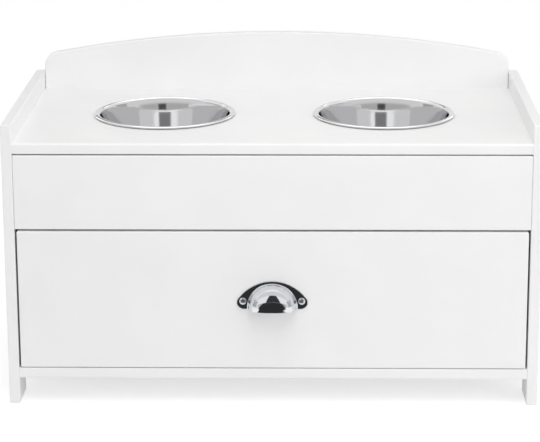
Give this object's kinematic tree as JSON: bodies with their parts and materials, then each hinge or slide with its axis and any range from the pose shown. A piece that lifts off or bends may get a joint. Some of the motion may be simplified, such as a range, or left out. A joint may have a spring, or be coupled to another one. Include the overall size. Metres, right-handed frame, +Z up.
{
  "type": "elevated dog feeder with storage",
  "caption": "Raised dog feeding cabinet with lift-out steel bowls in its top, an arched back board and a wide storage drawer on roller slides.",
  "frame": {"origin": "on the floor, at the middle of the whole outline seen from above, with the pull that stands out in front", "axes": "+X to the right along the width, +Y to the back, +Z up; the drawer faces -Y"},
  "size_m": [0.6, 0.329, 0.3755],
  "materials": {
    "white_lacquered_board": "satin white lacquer on fibreboard",
    "white_foiled_board": "matt white foil on fibreboard",
    "polished_stainless_steel": "mirror polished",
    "chromed_zinc": "bright chrome plating",
    "zinc_plated_steel": "bright zinc plating",
    "die_cast_zinc": "as cast",
    "epoxy_coated_steel": "white epoxy coat",
    "moulded_nylon": "moulded",
    "beech_dowel": "fluted and untreated"
  },
  "bodies": {
    "cabinet": {"side_panel_left": "white_lacquered_board", "side_panel_right": "white_lacquered_board", "top_panel": "white_lacquered_board", "bottom_panel": "white_lacquered_board", "back_board": "white_lacquered_board", "front_apron": "white_lacquered_board", "panel_dowels": "beech_dowel", "panel_cam_bolts": "zinc_plated_steel", "panel_cam_discs": "die_cast_zinc", "back_screws": "zinc_plated_steel", "cabinet_rail_left": "epoxy_coated_steel", "cabinet_rail_right": "epoxy_coated_steel", "cabinet_rail_screws": "zinc_plated_steel", "front_roller_rivets": "zinc_plated_steel"},
    "drawer": {"drawer_front": "white_lacquered_board", "drawer_side_left": "white_foiled_board", "drawer_side_right": "white_foiled_board", "drawer_back": "white_foiled_board", "drawer_bottom": "white_foiled_board", "drawer_dowels": "beech_dowel", "drawer_cam_bolts": "zinc_plated_steel", "drawer_cam_discs": "die_cast_zinc", "drawer_back_screws": "zinc_plated_steel", "drawer_bottom_screws": "zinc_plated_steel", "drawer_rail_left": "epoxy_coated_steel", "drawer_rail_right": "epoxy_coated_steel", "drawer_rail_screws": "zinc_plated_steel", "rear_roller_rivets": "zinc_plated_steel", "cup_pull": "chromed_zinc", "pull_screws": "zinc_plated_steel"},
    "bowl_left": {"bowl_left": "polished_stainless_steel"},
    "bowl_right": {"bowl_right": "polished_stainless_steel"},
    "front_roller_left": {"front_roller_left": "moulded_nylon"},
    "front_roller_right": {"front_roller_right": "moulded_nylon"},
    "rear_roller_left": {"rear_roller_left": "moulded_nylon"},
    "rear_roller_right": {"rear_roller_right": "moulded_nylon"}
  },
  "joints": [
    {"name": "drawer_slide", "type": "slide", "parent": "cabinet", "child": "drawer", "axis": [0, -1, 0], "range_m": [0, 0.185]},
    {"name": "bowl_left_lift", "type": "slide", "parent": "cabinet", "child": "bowl_left", "axis": [0, 0, 1], "range_m": [0, 0.1]},
    {"name": "bowl_right_lift", "type": "slide", "parent": "cabinet", "child": "bowl_right", "axis": [0, 0, 1], "range_m": [0, 0.1]},
    {"name": "front_roller_left_spin", "type": "hinge", "parent": "cabinet", "child": "front_roller_left", "pos_m": [-0.28235, -0.1125, 0.0685], "axis": [1, 0, 0], "range_deg": [-10, 1000]},
    {"name": "front_roller_right_spin", "type": "hinge", "parent": "cabinet", "child": "front_roller_right", "pos_m": [0.28235, -0.1125, 0.0685], "axis": [1, 0, 0], "range_deg": [-10, 1000]},
    {"name": "rear_roller_left_spin", "type": "hinge", "parent": "drawer", "child": "rear_roller_left", "pos_m": [-0.28115, 0.1075, 0.0685], "axis": [1, 0, 0], "range_deg": [-10, 1000]},
    {"name": "rear_roller_right_spin", "type": "hinge", "parent": "drawer", "child": "rear_roller_right", "pos_m": [0.28115, 0.1075, 0.0685], "axis": [1, 0, 0], "range_deg": [-10, 1000]}
  ],
  "couplings": [
    {"joint": "front_roller_left_spin", "follows": "drawer_slide", "rad_per_m": 90.909},
    {"joint": "front_roller_right_spin", "follows": "drawer_slide", "rad_per_m": 90.909},
    {"joint": "rear_roller_left_spin", "follows": "drawer_slide", "rad_per_m": 90.909},
    {"joint": "rear_roller_right_spin", "follows": "drawer_slide", "rad_per_m": 90.909}
  ]
}
